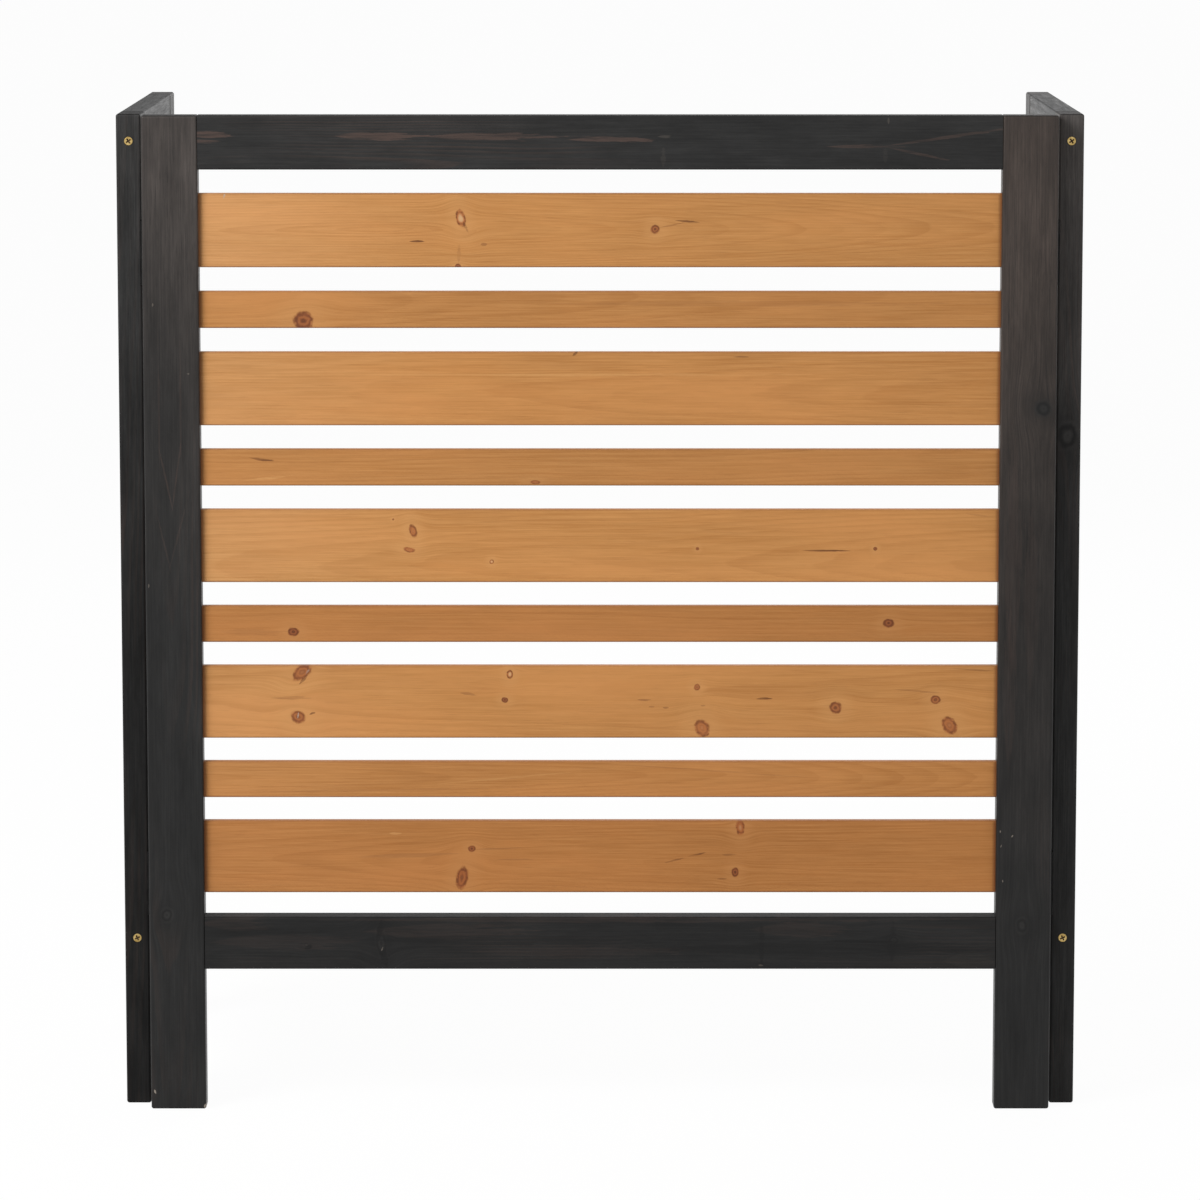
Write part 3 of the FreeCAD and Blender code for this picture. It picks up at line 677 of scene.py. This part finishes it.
def screw_mesh(head_radius, shank_radius, length, point, thread_pitch):
    """A screw that hangs below the origin, with the middle of its head's face there."""
    face_share, rim, rim_round_share = 0.9, 0.0003, 0.5
    core_share, plain_share, run_out = 0.72, 0.3, 0.001
    arm_share, slot_share, recess_share, foot_share, recess_shade_share = 0.62, 0.17, 0.6, 0.5, 1.1
    thread_from, ridge_half_width, ridge_root, thread_clear = 0.0016, 0.0004, 0.0001, 0.0030
    sides, steps_per_turn, full_turn = 36, 14, 2 * math.pi
    face_depth, same_place = 1e-5, 1e-6
    face_radius, core_radius = face_share * head_radius, core_share * shank_radius
    neck = rim + head_radius - shank_radius
    plain = neck + plain_share * (length - point)

    form = bmesh.new()
    profile = [
        (face_radius, 0.0), (head_radius, -rim_round_share * rim), (head_radius, -rim),
        (shank_radius, -neck), (shank_radius, -plain),
        (core_radius, -plain - run_out), (core_radius, -length + point), (0.0, -length)]
    corners = [form.verts.new((radius, 0.0, height)) for radius, height in profile]
    edges = [form.edges.new(pair) for pair in zip(corners, corners[1:])]
    bmesh.ops.spin(
        form, geom=corners + edges, cent=(0, 0, 0), axis=(0, 0, 1), angle=full_turn, steps=sides,
        use_merge=True)
    bmesh.ops.remove_doubles(form, verts=form.verts, dist=same_place)

    face_rim = [edge for edge in form.edges if edge.is_boundary]
    arm, slot = arm_share * head_radius, slot_share * head_radius
    cross = []
    for turn in range(4):
        quarter = Matrix.Rotation(turn * math.pi / 2, 4, "Z")
        for spot in ((arm, -slot, 0), (arm, slot, 0), (slot, slot, 0)):
            cross.append(form.verts.new(quarter @ Vector(spot)))
    mouth = [form.edges.new((cross[at - 1], cross[at])) for at in range(len(cross))]
    bmesh.ops.triangle_fill(form, edges=face_rim + mouth, use_beauty=True)
    sunk = bmesh.ops.extrude_edge_only(form, edges=mouth)["geom"]
    for corner in [item for item in sunk if isinstance(item, bmesh.types.BMVert)]:
        corner.co = Vector((foot_share * corner.co.x, foot_share * corner.co.y, -recess_share * neck))
    foot = [item for item in sunk if isinstance(item, bmesh.types.BMEdge)]
    bmesh.ops.triangle_fill(form, edges=foot, use_beauty=True)
    bmesh.ops.recalc_face_normals(form, faces=form.faces)
    for face in form.faces:
        middle = face.calc_center_median()
        below_face = middle.z < -face_depth
        in_recess = below_face and middle.z > -neck and math.hypot(middle.x, middle.y) < arm
        farthest = max(math.hypot(corner.co.x, corner.co.y) for corner in face.verts)
        # Faces deep in the cross recess take the dark coat: painted shade with some grime.
        face.material_index = 1 if in_recess and farthest < recess_shade_share * arm else 0
        face.smooth = below_face and not in_recess

    root, ridge_at = core_radius - ridge_root, -plain - thread_from
    section = [
        (root, ridge_at + ridge_half_width), (shank_radius, ridge_at), (root, ridge_at - ridge_half_width)]
    ridge = [form.verts.new((radius, 0.0, height)) for radius, height in section]
    ridge_edges = [form.edges.new((ridge[at - 1], ridge[at])) for at in range(len(ridge))]
    turns = max(1, int((length - point - plain - thread_clear) / thread_pitch))
    wound = bmesh.ops.spin(
        form, geom=ridge + ridge_edges, cent=(0, 0, 0), axis=(0, 0, 1), angle=full_turn * turns,
        steps=steps_per_turn * turns, dvec=(0, 0, -thread_pitch / steps_per_turn))
    form.faces.new(ridge)
    form.faces.new([item for item in wound["geom_last"] if isinstance(item, bmesh.types.BMVert)])
    bmesh.ops.recalc_face_normals(form, faces=form.faces)
    return form


first_twist, next_twist = 0.6, 0.7     # how far round each screw's cross has stopped


def set_screws(node, body, pattern, spots):
    """One object of all the screws of a node, each head's face at a spot and its shank along a direction."""
    group = bmesh.new()
    mesh = bpy.data.meshes.new(node + "_turned")
    pattern.to_mesh(mesh)
    for number, (spot, heading) in enumerate(spots):
        turn = (-Vector(heading)).to_track_quat("Z", "Y").to_matrix().to_4x4()
        twist = Matrix.Rotation(first_twist + next_twist * number, 4, "Z")
        before = len(group.verts)
        group.from_mesh(mesh)
        group.verts.ensure_lookup_table()
        place = Matrix.Translation(spot) @ turn @ twist
        bmesh.ops.transform(group, matrix=place, verts=group.verts[before:])
    group.to_mesh(mesh)
    group.free()
    piece = bpy.data.objects.new(node + "_turned", mesh)
    bpy.context.scene.collection.objects.link(piece)
    mesh.materials.append(yellow_zinc)
    mesh.materials.append(recess_shade_and_grime)
    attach(piece, body)
    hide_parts(node)


def middle_of(name):
    """The middle of a node's box."""
    low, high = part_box(name)
    return (low + high) / 2


frame_screw = screw_mesh(
    head_radius=0.0045, shank_radius=0.0025, length=0.090, point=0.006, thread_pitch=0.0024)
hinge_screw = screw_mesh(
    head_radius=0.0033, shank_radius=0.00175, length=0.016, point=0.004, thread_pitch=0.0013)
frame_sink, hinge_sink = 0.0004, 0.0001
left_post, right_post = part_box("front_left_post"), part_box("front_right_post")
rail_levels = [middle_of(name).z for name in ("front_top_rail", "front_bottom_rail")]
post_middle = middle_of("front_left_post").y
spots = []
for level in rail_levels:
    spots.append(((left_post[0].x + frame_sink, post_middle, level), (1, 0, 0)))
    spots.append(((right_post[1].x - frame_sink, post_middle, level), (-1, 0, 0)))
set_screws("front_frame_screws", "front_panel", frame_screw, spots)
for side in ("left", "right"):
    front_stile, rear_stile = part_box(side + "_wing_front_stile"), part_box(side + "_wing_rear_stile")
    stile_middle = middle_of(side + "_wing_front_stile").x
    spots = []
    for level in rail_levels:
        spots.append(((stile_middle, front_stile[0].y + frame_sink, level), (0, 1, 0)))
        spots.append(((stile_middle, rear_stile[1].y - frame_sink, level), (0, -1, 0)))
    set_screws(side + "_wing_frame_screws", side + "_wing", frame_screw, spots)

leaf_width = 0.026
hole_shares = ((0.7, 0.17), (0.5, 0.5), (0.7, 0.83))     # across the leaf from the pin, and up it
post_back = left_post[1].y - hinge_sink
post_spots = []
for side, inward in (("left", 1), ("right", -1)):
    stile_low, stile_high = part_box(side + "_wing_front_stile")
    wing_face = (stile_low.x if inward < 0 else stile_high.x) - inward * hinge_sink
    wing_spots = []
    for hinge in ("upper", "lower"):
        pin = middle_of(side + "_" + hinge + "_hinge_pin")
        leaf_low, leaf_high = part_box(side + "_" + hinge + "_hinge_post_leaf")
        for across, up in hole_shares:
            height = leaf_low.z + up * (leaf_high.z - leaf_low.z)
            post_spots.append(((pin.x + inward * across * leaf_width, post_back, height), (0, -1, 0)))
            wing_spots.append(((wing_face, pin.y + across * leaf_width, height), (-inward, 0, 0)))
    set_screws(side + "_wing_hinge_screws", side + "_wing", hinge_screw, wing_spots)
set_screws("front_hinge_screws", "front_panel", hinge_screw, post_spots)


# Studio: a white floor that runs on past the picture and keeps the screen's shadow, a soft key light from
# the upper left, a weak fill from the right and a light behind. The camera stands where the photograph was
# taken, 5.7 m in front, and looks down a little.

floor_radius, floor_sides = 60.0, 64
floor_mesh = bpy.data.meshes.new("floor")
sheet = bmesh.new()
bmesh.ops.create_circle(sheet, cap_ends=True, segments=floor_sides, radius=floor_radius)
sheet.to_mesh(floor_mesh)
sheet.free()
floor = bpy.data.objects.new("floor", floor_mesh)
bpy.context.scene.collection.objects.link(floor)


def seen_directly(tree):
    """1 for rays that show the studio itself, 0 for the light that it gives."""
    rays = add_node(tree, "ShaderNodeLightPath").outputs
    mirrored = maths(tree, "MAXIMUM", rays["Is Glossy Ray"], rays["Is Transmission Ray"])
    return maths(tree, "MAXIMUM", rays["Is Camera Ray"], mirrored)


lighting_grey, seen_white, pure_white = (0.55, 0.55, 0.55, 1), (0.98, 0.98, 0.98, 1), (1, 1, 1, 1)
glow_share = 0.96     # the rest of the floor's white takes the shadow
floor_paint = bpy.data.materials.new("white_floor")
floor_paint.use_nodes = True
tree = floor_paint.node_tree
tree.nodes.clear()
seen = seen_directly(tree)
paint = blend(tree, seen, lighting_grey, seen_white)
matt = add_node(tree, "ShaderNodeBsdfDiffuse", {"Color": paint}).outputs[0]
glow = add_node(tree, "ShaderNodeEmission", {"Color": pure_white, "Strength": 1.0}).outputs[0]
glowing = times(tree, seen, glow_share)
white = add_node(tree, "ShaderNodeMixShader", {0: glowing, 1: matt, 2: glow}).outputs[0]
tree.links.new(white, add_node(tree, "ShaderNodeOutputMaterial").inputs["Surface"])
floor.data.materials.append(floor_paint)

world = bpy.data.worlds.new("studio")
bpy.context.scene.world = world
world.use_nodes = True
tree = world.node_tree
tree.nodes.clear()
soft_light, seen_light = 0.42, 1.0
level = times_plus(tree, seen_directly(tree), seen_light - soft_light, soft_light)
sky = add_node(tree, "ShaderNodeBackground", {"Color": pure_white, "Strength": level}).outputs[0]
tree.links.new(sky, add_node(tree, "ShaderNodeOutputWorld").inputs["Surface"])


def softbox(name, place, aim, size, power):
    """A round soft lamp at a place, turned to its aim."""
    lamp = bpy.data.lights.new(name, "AREA")
    lamp.shape = "DISK"
    lamp.size = size
    lamp.energy = power
    box = bpy.data.objects.new(name, lamp)
    box.location = place
    box.rotation_euler = (Vector(aim) - Vector(place)).to_track_quat("-Z", "Y").to_euler()
    bpy.context.scene.collection.objects.link(box)


softbox("key_softbox", place=(-2.0, -2.1, 2.4), aim=(0.0, -0.2, 0.7), size=1.6, power=86.0)
softbox("fill_softbox", place=(2.6, -3.0, 1.8), aim=(0.0, -0.2, 0.6), size=2.0, power=16.0)
softbox("back_softbox", place=(0.8, 3.4, 2.8), aim=(0.0, 0.0, 0.6), size=2.4, power=45.0)

camera_place, degrees_down = (0.0, -5.9006, 1.3098), 7.908
camera_data = bpy.data.cameras.new("photo_camera")
camera_data.sensor_width = 36.0
camera_data.lens = 170.4
camera = bpy.data.objects.new("photo_camera", camera_data)
camera.location = camera_place
camera.rotation_euler = (math.radians(90.0 - degrees_down), 0.0, 0.0)
bpy.context.scene.collection.objects.link(camera)
bpy.context.scene.camera = camera
bpy.context.scene.view_settings.view_transform = "Standard"
